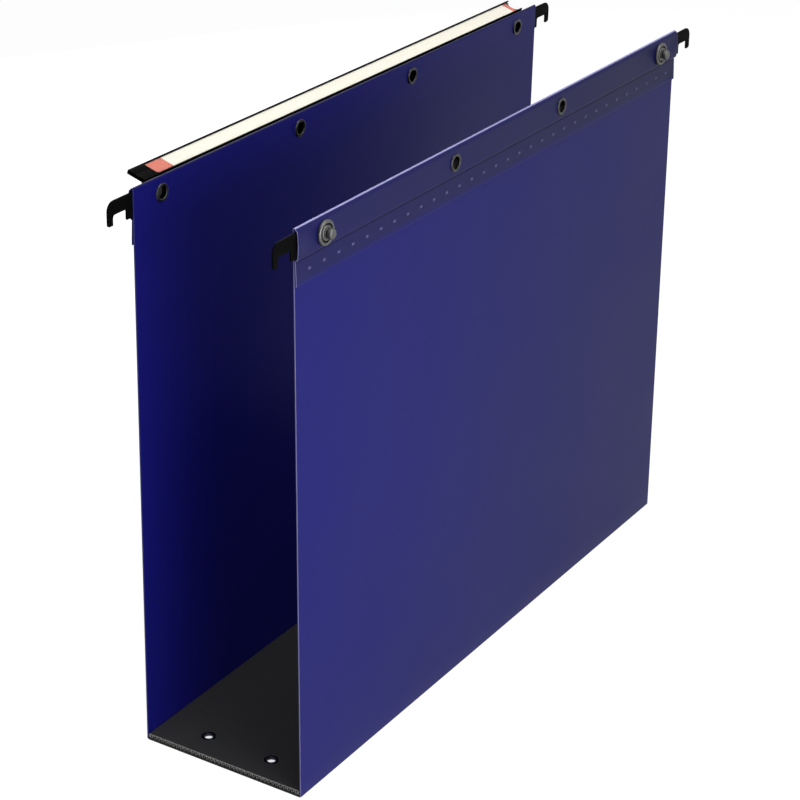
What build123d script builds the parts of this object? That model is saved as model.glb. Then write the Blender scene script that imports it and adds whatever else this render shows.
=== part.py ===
"""Hanging file folder for lateral filing: two sheet walls on a stiff base, hook bars and a tilted index rail.

X runs along the width, the front wall is at -Y and Z is up. The origin is the middle of the base's underside.
"""
import os
from math import cos, radians, sin, sqrt

from build123d import *

# Overall sizes in millimetres
panel_width = 318.0
folder_height = 253.5
inner_depth = 79.5
sheet_thickness = 0.6
overrun = 1.0

# Angle in degrees by which each wall leans in over the base
wall_lean = 0.5

# Base sheet and fluted base board
base_sheet_thickness = 0.8
board_thickness = 2.2
board_liner = 0.35
board_side_gap = 0.5
flute_pitch = 2.0
flute_web = 0.3
fold_clearance = 0.15

# Eyelets that rivet the board to the base sheet
base_eyelet_bore_radius = 1.9
base_eyelet_barrel_radius = 2.2
base_eyelet_flange_radius = 3.2
base_eyelet_flange = 0.35
base_eyelet_inset = 12.5
base_eyelet_spacing = 33.0
base_eyelet_sink = 0.05

# Hook bars
hook_reach = 15.0
bar_height = 10.5
bar_thickness = 0.8
bar_drop = 1.8
hook_neck = 6.0
hook_leg_width = 3.3
hook_leg_drop = 4.2
hook_notch_width = 8.3
hook_corner_radius = 4.0
hook_tip_chamfer = 1.0
hook_notch_radius = 1.2

# Hem around each bar
bar_clearance = 0.1
crease_drop = 13.6
flap_drop = 24.0
weld_drop = 18.75
weld_pitch = 10.0
weld_length = 2.0
weld_height = 1.2
weld_rise = 0.15

# Eyelets and posts through the hems
eyelet_spacing = 90.0
stud_inset = 18.0
eyelet_bore_radius = 2.6
eyelet_barrel_radius = 3.0
eyelet_flange_radius = 3.9
eyelet_flange = 0.6
hole_clearance = 0.15
spigot_clearance = 0.05
spigot_length = 2.0

# Press studs on the front hem
stud_flange_radius = 5.2
stud_flange = 0.9
stud_rim_width = 1.1
stud_rim_rise = 0.5
stud_boss_radius = 3.2
stud_neck_radius = 1.8
stud_neck = 1.0
stud_knob_radius = 2.2
stud_knob = 1.9
stud_knob_chamfer = 0.6

# Press-stud sockets on the back hem, with their ring springs
socket_flange_radius = 4.6
socket_flange = 0.8
socket_cup_radius = 3.9
socket_cup = 3.2
socket_floor = 0.5
socket_clearance = 0.15
spring_wire_radius = 0.3
spring_wire_sides = 6
spring_grip = 0.25
spring_room = 0.25
spring_lift = 1.1
spring_gap_angle = 40.0

# Index rail, its label and its clear window
rail_inset = 10.0
rail_flange = 1.5
rail_flange_drop = 13.0
rail_tilt = 16.0
rail_width = 8.8
rail_plate = 0.7
rail_slot = 0.75
rail_lip = 0.42
rail_side_wall = 0.4
rail_front_lip = 0.6
rail_back_lip = 0.7
rail_set_out = 0.22
rail_set_down = 1.6
rail_end_block = 9.0
rail_window_radius = 2.2
thumb_notch_radius = 3.4
thumb_notch_depth = 2.6
recess_clearance = 0.2
label_thickness = 0.25
window_thickness = 0.3
insert_clearance = 0.08
insert_end_clearance = 0.5
label_setback = 3.2

# Places that follow from the sizes
half_width = panel_width / 2
half_depth = inner_depth / 2
lean = radians(wall_lean)
bar_length = panel_width + 2 * hook_reach
stud_spacing = panel_width - 2 * stud_inset
rail_length = panel_width - 2 * rail_inset
pocket_width = bar_thickness + 2 * bar_clearance
hem_thickness = 2 * sheet_thickness + pocket_width
fold_radius = hem_thickness / 2
hinge_y = half_depth + sheet_thickness / 2
hinge_z = fold_clearance + sheet_thickness / 2
board_top = base_sheet_thickness + board_thickness
row_z = folder_height - bar_drop - bar_height / 2
taper_z = folder_height - crease_drop + pocket_width
inner_taper = sheet_thickness * (sqrt(2) - 1)
eyelet_hole_radius = eyelet_barrel_radius + hole_clearance
stud_x = stud_spacing / 2
eyelet_x = eyelet_spacing / 2
rail_back = hem_thickness + rail_flange
sides = {"front": -1, "back": 1}
ends = {"left": -1, "right": 1}

os.makedirs("parts", exist_ok=True)


def wall_point(side, out, height):
    """A point of a wall's cross-section: its distance out from the inner face, and its height up the leaning wall."""
    across = out - sheet_thickness / 2
    rise = height - hinge_z
    y = side * (hinge_y + across * cos(lean) - rise * sin(lean))
    z = hinge_z + across * sin(lean) + rise * cos(lean)
    return (y, z)


def wall_plane(side, out):
    """The leaning plane at a distance out from a wall's inner face, with X across it and heights up it."""
    y, z = wall_point(side, out, 0)
    return Plane(origin=(0, y, z), x_dir=(1, 0, 0), z_dir=(0, -cos(lean), -side * sin(lean)))


def turning_plane(side, x):
    """The plane through a fixing's own axis: it runs out of the wall, then away from the axis."""
    y, z = wall_point(side, 0, row_z)
    return Plane(origin=(x, y, z), x_dir=(0, side * cos(lean), sin(lean)), z_dir=(1, 0, 0))


def turning_axis(side, x):
    """The axis of a fixing in a wall, pointing out of the folder."""
    y, z = wall_point(side, 0, row_z)
    return Axis((x, y, z), (0, side * cos(lean), sin(lean)))


# Base sheet: lies between the walls, with sunk seats for the rolled ends of the eyelets
with BuildPart() as base_sheet:
    Box(
        panel_width,
        inner_depth - 2 * fold_clearance,
        base_sheet_thickness,
        align=(Align.CENTER, Align.CENTER, Align.MIN),
    )
    base_eyelet_reach = panel_width - 2 * base_eyelet_inset
    seat_depth = base_eyelet_flange + 2 * base_eyelet_sink
    with BuildSketch():
        with GridLocations(base_eyelet_reach, base_eyelet_spacing, 2, 2):
            Circle(base_eyelet_flange_radius + hole_clearance)
    extrude(amount=seat_depth, mode=Mode.SUBTRACT)
    with BuildSketch():
        with GridLocations(base_eyelet_reach, base_eyelet_spacing, 2, 2):
            Circle(base_eyelet_barrel_radius + hole_clearance)
    extrude(amount=base_sheet_thickness, mode=Mode.SUBTRACT)
base_sheet.part.label = "base_sheet"
export_step(base_sheet.part, "parts/base_sheet.step")

# Base board: two liners joined by slanted webs, with three-sided flutes open at both ends
board_depth = inner_depth - 2 * board_side_gap
flute_count = int((board_depth - flute_pitch) / flute_pitch)
flute_bottom = base_sheet_thickness + board_liner
flute_top = board_top - board_liner
flute_half = flute_pitch / 2 - flute_web
with BuildPart() as base_board:
    with BuildSketch(Plane.XY.offset(base_sheet_thickness)):
        Rectangle(panel_width, board_depth)
        with GridLocations(base_eyelet_reach, base_eyelet_spacing, 2, 2):
            Circle(base_eyelet_barrel_radius + hole_clearance, mode=Mode.SUBTRACT)
    extrude(amount=board_thickness)
    with BuildSketch(Plane.YZ):
        with GridLocations(flute_pitch, 0, flute_count, 1):
            Polygon((-flute_half, flute_bottom), (flute_half, flute_bottom), (0, flute_top), align=None)
        with GridLocations(flute_pitch, 0, flute_count + 1, 1):
            Polygon((-flute_half, flute_top), (0, flute_bottom), (flute_half, flute_top), align=None)
    extrude(amount=half_width + overrun, both=True, mode=Mode.SUBTRACT)
base_board.part.label = "base_board"
export_step(base_board.part, "parts/base_board.step")

# Base eyelets: a flange on the board, a barrel through both layers and a rolled end sunk in the sheet
for side_name, side in sides.items():
    for end_name, end in ends.items():
        eyelet_x_place = end * base_eyelet_reach / 2
        eyelet_y_place = side * base_eyelet_spacing / 2
        barrel_height = board_top + base_eyelet_flange - base_eyelet_sink
        with BuildPart() as base_eyelet:
            with BuildSketch(Plane.XY.offset(base_eyelet_sink)):
                with Locations((eyelet_x_place, eyelet_y_place)):
                    Circle(base_eyelet_barrel_radius)
            extrude(amount=barrel_height)
            with BuildSketch(Plane.XY.offset(base_eyelet_sink), Plane.XY.offset(board_top)):
                with Locations((eyelet_x_place, eyelet_y_place)):
                    Circle(base_eyelet_flange_radius)
            extrude(amount=base_eyelet_flange)
            with BuildSketch():
                with Locations((eyelet_x_place, eyelet_y_place)):
                    Circle(base_eyelet_bore_radius)
            extrude(amount=board_top + overrun, mode=Mode.SUBTRACT)
        name = f"base_eyelet_{side_name}_{end_name}"
        base_eyelet.part.label = name
        export_step(base_eyelet.part, f"parts/{name}.step")

# Walls: one leaning sheet each, rounded at the fold by the base, with the top folded outward over the bar
weld_count = int(panel_width / weld_pitch)
for side_name, side in sides.items():
    with BuildPart() as panel:
        with BuildSketch(Plane.YZ) as section:
            with BuildLine():
                fold_top = folder_height - fold_radius
                Line(wall_point(side, 0, hinge_z), wall_point(side, 0, fold_top))
                ThreePointArc(
                    wall_point(side, 0, fold_top),
                    wall_point(side, fold_radius, folder_height),
                    wall_point(side, hem_thickness, fold_top),
                )
                Polyline(
                    wall_point(side, hem_thickness, fold_top),
                    wall_point(side, hem_thickness, taper_z),
                    wall_point(side, 2 * sheet_thickness, folder_height - crease_drop),
                    wall_point(side, 2 * sheet_thickness, folder_height - flap_drop),
                    wall_point(side, sheet_thickness, folder_height - flap_drop),
                    wall_point(side, sheet_thickness, hinge_z),
                )
                ThreePointArc(
                    wall_point(side, sheet_thickness, hinge_z),
                    wall_point(side, sheet_thickness / 2, hinge_z - sheet_thickness / 2),
                    wall_point(side, 0, hinge_z),
                )
            make_face()
            with BuildLine():
                pocket_outside = sheet_thickness + pocket_width
                ThreePointArc(
                    wall_point(side, sheet_thickness, fold_top),
                    wall_point(side, fold_radius, folder_height - sheet_thickness),
                    wall_point(side, pocket_outside, fold_top),
                )
                Polyline(
                    wall_point(side, pocket_outside, fold_top),
                    wall_point(side, pocket_outside, taper_z + inner_taper),
                    wall_point(side, sheet_thickness, folder_height - crease_drop + inner_taper),
                    wall_point(side, sheet_thickness, fold_top),
                )
            make_face(mode=Mode.SUBTRACT)
        extrude(amount=half_width, both=True)
        with BuildSketch(wall_plane(side, 2 * sheet_thickness)):
            with Locations((0, folder_height - weld_drop)):
                with GridLocations(weld_pitch, 0, weld_count, 1):
                    Rectangle(weld_length, weld_height)
        extrude(amount=-side * weld_rise)
        with BuildSketch(wall_plane(side, 0)):
            with Locations((0, row_z)):
                with GridLocations(eyelet_spacing, 0, 2, 1):
                    Circle(eyelet_hole_radius)
                with GridLocations(stud_spacing, 0, 2, 1):
                    Circle(eyelet_hole_radius)
        extrude(amount=-side * hem_thickness, mode=Mode.SUBTRACT)
    name = f"{side_name}_panel"
    panel.part.label = name
    export_step(panel.part, f"parts/{name}.step")

# Hook bars: flat strips with a downward hook at each end, punched for the eyelets and posts
hook_x = bar_length / 2 - hook_leg_width / 2
notch_x = bar_length / 2 - hook_leg_width - hook_notch_width / 2
notch_height = bar_height - hook_neck
leg_trim = notch_height - hook_leg_drop
for side_name, side in sides.items():
    with BuildPart() as bar:
        with BuildSketch(wall_plane(side, sheet_thickness + bar_clearance)) as outline:
            with Locations((0, row_z)):
                Rectangle(bar_length, bar_height)
            with Locations((0, row_z - bar_height / 2)):
                with GridLocations(2 * notch_x, 0, 2, 1):
                    Rectangle(
                        hook_notch_width,
                        notch_height,
                        align=(Align.CENTER, Align.MIN),
                        mode=Mode.SUBTRACT,
                    )
                with GridLocations(2 * hook_x, 0, 2, 1):
                    Rectangle(
                        hook_leg_width,
                        leg_trim,
                        align=(Align.CENTER, Align.MIN),
                        mode=Mode.SUBTRACT,
                    )
            tip_corners = outline.vertices().group_by(Axis.X)[0].sort_by(Axis.Y)[:1]
            tip_corners += outline.vertices().group_by(Axis.X)[-1].sort_by(Axis.Y)[:1]
            chamfer(tip_corners, length=hook_tip_chamfer)
            fillet(outline.vertices().group_by(Axis.Y)[-1], radius=hook_corner_radius)
            notch_line = row_z - bar_height / 2 + notch_height
            corners = outline.vertices()
            notch_corners = corners.filter_by(lambda corner: abs(corner.Y - notch_line) < bar_clearance)
            fillet(notch_corners, radius=hook_notch_radius)
            with Locations((0, row_z)):
                with GridLocations(eyelet_spacing, 0, 2, 1):
                    Circle(eyelet_hole_radius, mode=Mode.SUBTRACT)
                with GridLocations(stud_spacing, 0, 2, 1):
                    Circle(eyelet_hole_radius, mode=Mode.SUBTRACT)
        extrude(amount=-side * bar_thickness)
    name = f"{side_name}_bar"
    bar.part.label = name
    export_step(bar.part, f"parts/{name}.step")

# Middle eyelets: a flange on each face of the hem and a barrel between them
for side_name, side in sides.items():
    for end_name, end in ends.items():
        with BuildPart() as eyelet:
            with BuildSketch(turning_plane(side, end * eyelet_x)):
                with Locations((-eyelet_flange, eyelet_bore_radius)):
                    Rectangle(
                        hem_thickness + 2 * eyelet_flange,
                        eyelet_barrel_radius - eyelet_bore_radius,
                        align=Align.MIN,
                    )
                with Locations((-eyelet_flange, eyelet_bore_radius), (hem_thickness, eyelet_bore_radius)):
                    Rectangle(eyelet_flange, eyelet_flange_radius - eyelet_bore_radius, align=Align.MIN)
            revolve(axis=turning_axis(side, end * eyelet_x))
        name = f"{side_name}_eyelet_{end_name}"
        eyelet.part.label = name
        export_step(eyelet.part, f"parts/{name}.step")

# Posts: a flange on the hem's inner face and a barrel out to the stud or the socket
post_reach = {"front": hem_thickness, "back": rail_back}
for side_name, side in sides.items():
    for end_name, end in ends.items():
        with BuildPart() as post:
            with BuildSketch(turning_plane(side, end * stud_x)):
                with Locations((-eyelet_flange, eyelet_bore_radius)):
                    Rectangle(
                        post_reach[side_name] + eyelet_flange,
                        eyelet_barrel_radius - eyelet_bore_radius,
                        align=Align.MIN,
                    )
                    Rectangle(eyelet_flange, eyelet_flange_radius - eyelet_bore_radius, align=Align.MIN)
            revolve(axis=turning_axis(side, end * stud_x))
        name = f"{side_name}_post_{end_name}"
        post.part.label = name
        export_step(post.part, f"parts/{name}.step")

# Press studs: a flange with a raised rim and a middle boss, a neck, a chamfered knob and a spigot in the post
spigot_radius = eyelet_bore_radius - spigot_clearance
flange_top = hem_thickness + stud_flange
boss_top = flange_top + stud_rim_rise
knob_foot = boss_top + stud_neck
for end_name, end in ends.items():
    front = sides["front"]
    with BuildPart() as stud:
        with BuildSketch(turning_plane(front, end * stud_x)) as profile:
            with Locations((hem_thickness - spigot_length, 0)):
                Rectangle(spigot_length, spigot_radius, align=Align.MIN)
            with Locations((hem_thickness, 0)):
                Rectangle(stud_flange, stud_flange_radius, align=Align.MIN)
            with Locations((flange_top, stud_flange_radius - stud_rim_width)):
                Rectangle(stud_rim_rise, stud_rim_width, align=Align.MIN)
            with Locations((flange_top, 0)):
                Rectangle(stud_rim_rise, stud_boss_radius, align=Align.MIN)
            with Locations((boss_top, 0)):
                Rectangle(stud_neck, stud_neck_radius, align=Align.MIN)
            with Locations((knob_foot, 0)):
                Rectangle(stud_knob, stud_knob_radius, align=Align.MIN)
            knob_corner = profile.vertices().group_by(Axis.X)[-1].sort_by(Axis.Y)[-1:]
            rim_corners = profile.vertices().group_by(Axis.Y)[-1].sort_by(Axis.X)[-1:]
            chamfer(knob_corner, length=stud_knob_chamfer)
            chamfer(rim_corners, length=stud_rim_rise)
        revolve(axis=turning_axis(front, end * stud_x))
    name = f"front_stud_{end_name}"
    stud.part.label = name
    export_step(stud.part, f"parts/{name}.step")

# Sockets: a flange on the rail, a cup that takes the next folder's stud and a groove for the ring spring
mouth_radius = stud_knob_radius + socket_clearance
spring_radius = stud_knob_radius - spring_grip + spring_wire_radius
groove_radius = spring_radius + spring_wire_radius + spring_room
groove_width = 2 * spring_wire_radius + spring_room
cup_floor = rail_back + socket_floor
groove_middle = cup_floor + spring_lift
for end_name, end in ends.items():
    back = sides["back"]
    with BuildPart() as socket:
        with BuildSketch(turning_plane(back, end * stud_x)) as profile:
            with Locations((rail_back - spigot_length, 0)):
                Rectangle(spigot_length, spigot_radius, align=Align.MIN)
            with Locations((rail_back, 0)):
                Rectangle(socket_flange, socket_flange_radius, align=Align.MIN)
                Rectangle(socket_cup, socket_cup_radius, align=Align.MIN)
            cup_corner = profile.vertices().group_by(Axis.X)[-1].sort_by(Axis.Y)[-1:]
            chamfer(cup_corner, length=socket_flange)
            with Locations((cup_floor, 0)):
                Rectangle(socket_cup, mouth_radius, align=Align.MIN, mode=Mode.SUBTRACT)
            with Locations((groove_middle, 0)):
                Rectangle(groove_width, groove_radius, align=(Align.CENTER, Align.MIN), mode=Mode.SUBTRACT)
        revolve(axis=turning_axis(back, end * stud_x))
    name = f"back_socket_{end_name}"
    socket.part.label = name
    export_step(socket.part, f"parts/{name}.step")

# Ring springs: wire bent to an open ring that lies in the socket's groove
for end_name, end in ends.items():
    with BuildPart() as spring:
        with BuildSketch(turning_plane(sides["back"], end * stud_x)):
            with Locations((groove_middle, spring_radius)):
                RegularPolygon(spring_wire_radius, spring_wire_sides)
        revolve(axis=turning_axis(sides["back"], end * stud_x), revolution_arc=360 - spring_gap_angle)
    name = f"socket_spring_{end_name}"
    spring.part.label = name
    export_step(spring.part, f"parts/{name}.step")

# Index rail: a flange behind the hem carries a tilted channel with a closed left end and a thumb notch
tilt = radians(rail_tilt + wall_lean)
rail_height = rail_plate + rail_slot + rail_lip
foot_y, foot_z = wall_point(sides["back"], hem_thickness + rail_set_out, folder_height - rail_set_down)
rail_plane = Plane(origin=(0, foot_y, foot_z), x_dir=(1, 0, 0), z_dir=(0, -sin(tilt), cos(tilt)))
seat_plane = rail_plane.offset(rail_plate)
window_plane = seat_plane.offset(rail_slot)
rail_half = rail_length / 2
insert_left = rail_end_block - rail_half
slot_width = rail_width - 2 * rail_side_wall
opening_width = rail_width - rail_front_lip - rail_back_lip
opening_length = rail_length - rail_end_block + rail_window_radius
flange_height = rail_flange_drop - rail_set_down + rail_plate
with BuildPart() as index_rail:
    with BuildSketch(rail_plane):
        Rectangle(rail_length, rail_width, align=(Align.CENTER, Align.MIN))
    extrude(amount=rail_height)
    with BuildSketch(wall_plane(sides["back"], hem_thickness)):
        with Locations((0, folder_height - rail_flange_drop)):
            Rectangle(rail_length, flange_height, align=(Align.CENTER, Align.MIN))
    extrude(amount=-rail_flange)
    with BuildSketch(seat_plane):
        with Locations((insert_left, rail_side_wall)):
            Rectangle(rail_length, slot_width, align=Align.MIN)
    extrude(amount=rail_slot, mode=Mode.SUBTRACT)
    with BuildSketch(window_plane) as opening:
        with Locations((insert_left, rail_front_lip)):
            Rectangle(opening_length, opening_width, align=Align.MIN)
        fillet(opening.vertices().group_by(Axis.X)[0], radius=rail_window_radius)
    extrude(amount=rail_lip, mode=Mode.SUBTRACT)
    with BuildSketch(rail_plane):
        with Locations((rail_half + thumb_notch_radius - thumb_notch_depth, rail_width / 2)):
            Circle(thumb_notch_radius)
    extrude(amount=rail_plate, mode=Mode.SUBTRACT)
    with BuildSketch(wall_plane(sides["back"], hem_thickness)):
        with Locations((0, row_z)):
            with GridLocations(stud_spacing, 0, 2, 1):
                Circle(eyelet_hole_radius)
    extrude(amount=-rail_flange, mode=Mode.SUBTRACT)
    with BuildSketch(wall_plane(sides["back"], hem_thickness)):
        with Locations((0, row_z)):
            with GridLocations(eyelet_spacing, 0, 2, 1):
                Circle(eyelet_flange_radius + recess_clearance)
    extrude(amount=-(eyelet_flange + recess_clearance), mode=Mode.SUBTRACT)
index_rail.part.label = "index_rail"
export_step(index_rail.part, "parts/index_rail.step")

# Index label: a card strip on the rail's seat
insert_width = slot_width - 2 * insert_clearance
label_start = insert_left + insert_end_clearance
label_length = rail_half - label_setback - label_start
with BuildPart() as index_label:
    with BuildSketch(seat_plane.offset(insert_clearance)):
        with Locations((label_start, rail_side_wall + insert_clearance)):
            Rectangle(label_length, insert_width, align=Align.MIN)
    extrude(amount=label_thickness)
index_label.part.label = "index_label"
export_step(index_label.part, "parts/index_label.step")

# Index window: a clear strip over the label, pulled out by its right end with the label under it
window_length = rail_half - insert_end_clearance - label_start
with BuildPart() as index_window:
    with BuildSketch(seat_plane.offset(insert_clearance + label_thickness)):
        with Locations((label_start, rail_side_wall + insert_clearance)):
            Rectangle(window_length, insert_width, align=Align.MIN)
    extrude(amount=window_thickness)
index_window.part.label = "index_window"
export_step(index_window.part, "parts/index_window.step")
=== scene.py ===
from math import cos, pi, radians, sin

import bmesh
import bpy
import numpy as np
from mathutils import Matrix, Vector
from mathutils.geometry import tessellate_polygon


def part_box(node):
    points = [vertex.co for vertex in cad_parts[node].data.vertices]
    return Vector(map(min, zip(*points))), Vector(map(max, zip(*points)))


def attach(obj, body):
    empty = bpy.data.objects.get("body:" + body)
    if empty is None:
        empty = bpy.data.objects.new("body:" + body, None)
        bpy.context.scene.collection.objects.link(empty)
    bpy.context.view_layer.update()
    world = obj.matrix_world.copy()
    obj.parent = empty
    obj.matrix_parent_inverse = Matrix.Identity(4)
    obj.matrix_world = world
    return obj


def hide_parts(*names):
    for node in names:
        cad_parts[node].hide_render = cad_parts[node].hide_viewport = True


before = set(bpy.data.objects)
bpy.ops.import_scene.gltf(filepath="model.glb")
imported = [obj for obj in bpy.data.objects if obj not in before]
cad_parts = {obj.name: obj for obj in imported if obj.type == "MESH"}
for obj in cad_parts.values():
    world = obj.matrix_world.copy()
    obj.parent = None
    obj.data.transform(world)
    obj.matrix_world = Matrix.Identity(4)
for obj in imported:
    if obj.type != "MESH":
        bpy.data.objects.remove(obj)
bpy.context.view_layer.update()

# Base sheet: black polypropylene under the whole folder, cut to lie between the walls' lower edges.
# It is extruded with a fine matt grain, and the eyelets' rolled ends are sunk in its underside.
mm = 0.001
sheet_cloud = 30 * mm
sheet_grain = 0.5 * mm
sheet_grain_depth = 0.03 * mm


def tone(red, green, blue):
    """An sRGB colour in steps from 0 to 255 as the linear colour that a shader takes."""
    share = np.array([red, green, blue]) / 255
    linear = np.where(share < 0.04045, share / 12.92, ((share + 0.055) / 1.055) ** 2.4)
    return (*linear.tolist(), 1.0)


def add_node(material, kind, inputs=None, **settings):
    """Adds a node with its settings, and sets each input to a value or links it to another node's output."""
    tree = material.node_tree
    node = tree.nodes.new(kind)
    for key, value in settings.items():
        setattr(node, key, value)
    for key, value in (inputs or {}).items():
        if isinstance(value, bpy.types.NodeSocket):
            tree.links.new(value, node.inputs[key])
        else:
            node.inputs[key].default_value = value
    return node


def new_finish(name, roughness=0.5, metallic=0.0, specular=0.5):
    """A new material, its principled shader, and the output that gives the place on the piece."""
    material = bpy.data.materials.new(name)
    material.use_nodes = True
    shader = material.node_tree.nodes["Principled BSDF"]
    shader.inputs["Roughness"].default_value = roughness
    shader.inputs["Metallic"].default_value = metallic
    shader.inputs["Specular IOR Level"].default_value = specular
    place = add_node(material, "ShaderNodeTexCoord").outputs["Object"]
    return material, shader, place


def noise(material, place, size, detail=2.0, falloff=0.55):
    """A cloudy value around one half, whose lumps are about the given size."""
    inputs = {"Vector": place, "Scale": 1 / size, "Detail": detail, "Roughness": falloff}
    return add_node(material, "ShaderNodeTexNoise", inputs).outputs["Fac"]


def between(material, share, low, high):
    """Spreads a value from zero to one over the stretch from low to high."""
    inputs = {"Value": share, "To Min": low, "To Max": high}
    return add_node(material, "ShaderNodeMapRange", inputs).outputs["Result"]


def mixed(material, share, first, second):
    """Two colours mixed by a share of the second. The colours go to the mix node's sockets 6 and 7."""
    inputs = {0: share, 6: first, 7: second}
    return add_node(material, "ShaderNodeMix", inputs, data_type="RGBA").outputs[2]


def relief(material, shader, height, depth, strength=1.0):
    """Bumps the shader's surface by a height value, over a real depth."""
    inputs = {"Height": height, "Distance": depth, "Strength": strength}
    bump = add_node(material, "ShaderNodeBump", inputs)
    material.node_tree.links.new(bump.outputs["Normal"], shader.inputs["Normal"])


def link(material, output, shader, key):
    """Feeds an output to one of the shader's inputs."""
    material.node_tree.links.new(output, shader.inputs[key])


def dress(node, material):
    """Gives a CAD node its finish."""
    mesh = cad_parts[node].data
    mesh.materials.clear()
    mesh.materials.append(material)


black_sheet, shader, place = new_finish("black_sheet", roughness=0.55, specular=0.15)
cloud = noise(black_sheet, place, sheet_cloud)
link(black_sheet, mixed(black_sheet, cloud, tone(18, 18, 19), tone(27, 27, 28)), shader, "Base Color")
relief(black_sheet, shader, noise(black_sheet, place, sheet_grain), sheet_grain_depth)
dress("base_sheet", black_sheet)

# Base board: black twin-wall board that stiffens the base, laid on the sheet inside the walls.
# Its flutes run the folder's whole width, show faintly through the liner and are open at both ends.
flute_pitch = 2.0 * mm
wave_turn = pi / 10
cut_depth = 0.15 * mm
end_highlight_low = 1.2 * mm
end_highlight_high = 1.7 * mm
board_speckle = 0.9 * mm
board_grain = 0.6 * mm
board_relief = 0.03 * mm
flute_share = 0.25

black_board, shader, place = new_finish("black_board", roughness=0.55, specular=0.15)
board_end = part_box("base_board")[1].x
axes = add_node(black_board, "ShaderNodeSeparateXYZ", {"Vector": place}).outputs
# Painted highlight: near the cut ends and above a height, the black board is painted light grey for the light
# on the ends that face it. Lower down, the ends stay black.
across = add_node(black_board, "ShaderNodeMath", {0: axes["X"]}, operation="ABSOLUTE").outputs[0]
inputs = {0: across, 1: board_end - cut_depth}
cut_end = add_node(black_board, "ShaderNodeMath", inputs, operation="GREATER_THAN").outputs[0]
inputs = {"Value": axes["Z"], "From Min": end_highlight_low, "From Max": end_highlight_high}
end_highlight_share = add_node(black_board, "ShaderNodeMapRange", inputs).outputs["Result"]
inputs = {0: end_highlight_share, 1: cut_end}
end_highlight_share = add_node(black_board, "ShaderNodeMath", inputs, operation="MULTIPLY").outputs[0]
speckle = noise(black_board, place, board_speckle, detail=3.0)
face = mixed(black_board, speckle, tone(38, 38, 39), tone(54, 54, 55))
link(black_board, mixed(black_board, end_highlight_share, face, tone(168, 168, 165)), shader, "Base Color")
inputs = {"Vector": place, "Scale": wave_turn / flute_pitch}
flutes = add_node(black_board, "ShaderNodeTexWave", inputs, bands_direction="Y").outputs["Fac"]
inputs = {0: flutes, 1: flute_share, 2: noise(black_board, place, board_grain)}
height = add_node(black_board, "ShaderNodeMath", inputs, operation="MULTIPLY_ADD").outputs[0]
relief(black_board, shader, height, board_relief)
dress("base_board", black_board)

# Base eyelets: four small steel eyelets that rivet the board to the base sheet, each a tube with a rolled
# flange on the board and its other end rolled into the sheet's seat. They are black outside and bright
# deep in the bore.
eyelet_wall = 0.3 * mm
base_flange = 0.35 * mm
mouth_coat = 1.2 * mm
coat_edge = 0.25 * mm
flange_overhang = 1.0 * mm
base_eyelet_radii = np.array([0.25, 0.12, 0.15, 0.05, 0.05, 0.06, 0.28, 0.28, 0, 0]) * mm
eyelet_scuff = 1.2 * mm
eyelet_grain = 0.25 * mm
eyelet_grain_depth = 0.008 * mm
rivet_scuff = 1.0 * mm
bore_margin = 0.05 * mm
sharp_angle = radians(38)
seam_gap = 1e-7
tiny = 1e-9


def rounded(corners, radii, steps=6):
    """Rounds an outline: an arc of each corner's radius that touches both sides takes the corner's place.

    Corners are complex numbers along the last axis, and a radius of zero keeps a corner sharp.
    """
    corners = np.asarray(corners, complex)
    radii = np.maximum(np.broadcast_to(radii, corners.shape), tiny)
    before = np.roll(corners, 1, -1) - corners
    after = np.roll(corners, -1, -1) - corners
    before, after = before / np.abs(before), after / np.abs(after)
    half = np.angle(after / before) / 2
    start = corners + before * radii / np.tan(np.abs(half))
    end = corners + after * radii / np.tan(np.abs(half))
    centre = corners + before * np.exp(1j * half) * radii / np.sin(np.abs(half))
    sweep = np.angle((end - centre) / (start - centre))
    share = np.linspace(0, 1, steps)
    arcs = centre[..., None] + (start - centre)[..., None] * np.exp(1j * sweep[..., None] * share)
    return arcs.reshape(*corners.shape[:-1], -1)


def grid_faces(rows, columns, close_rows=False, close_columns=False):
    """Quads between neighbouring points of a grid, whose last row or column may join the first."""
    row, column = np.meshgrid(
        np.arange(rows if close_rows else rows - 1),
        np.arange(columns if close_columns else columns - 1),
        indexing="ij",
    )
    next_row, next_column = (row + 1) % rows * columns, (column + 1) % columns
    row = row * columns
    quads = [row + column, row + next_column, next_row + next_column, next_row + column]
    return np.stack(quads, -1).reshape(-1, 4)


def new_piece(name, points, faces, material, body, slot, *nodes, **shades):
    """Makes a mesh of points and faces with closed seams, and puts it on a body in place of CAD nodes."""
    mesh = bpy.data.meshes.new(name)
    mesh.from_pydata(np.reshape(points, (-1, 3)).tolist(), [], faces)
    for shade, values in shades.items():
        attribute = mesh.attributes.new(shade, "FLOAT", "POINT")
        attribute.data.foreach_set("value", np.ravel(values).astype(np.float32))
    shell = bmesh.new()
    shell.from_mesh(mesh)
    bmesh.ops.remove_doubles(shell, verts=shell.verts, dist=seam_gap)
    bmesh.ops.recalc_face_normals(shell, faces=shell.faces)
    shell.to_mesh(mesh)
    shell.free()
    mesh.shade_smooth()
    mesh.set_sharp_from_angle(angle=sharp_angle)
    mesh.materials.append(material)
    piece = bpy.data.objects.new(name, mesh)
    bpy.context.scene.collection.objects.link(piece)
    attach(piece, body)
    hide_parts(*nodes)


def turned(profile, foot, outward, segments=80):
    """Turns a closed profile, distance along the axis + i * radius, about the line outward from foot."""
    outward = np.array(outward, float)
    sideways = np.array((1.0, 0.0, 0.0))
    crosswise = np.cross(outward, sideways)
    angle = np.linspace(0, 2 * pi, segments, endpoint=False)[:, None]
    spokes = np.cos(angle) * sideways + np.sin(angle) * crosswise
    points = np.array(foot) + profile.real[:, None, None] * outward + profile.imag[:, None, None] * spokes
    return points, grid_faces(len(profile), segments, close_rows=True, close_columns=True).tolist()


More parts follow.
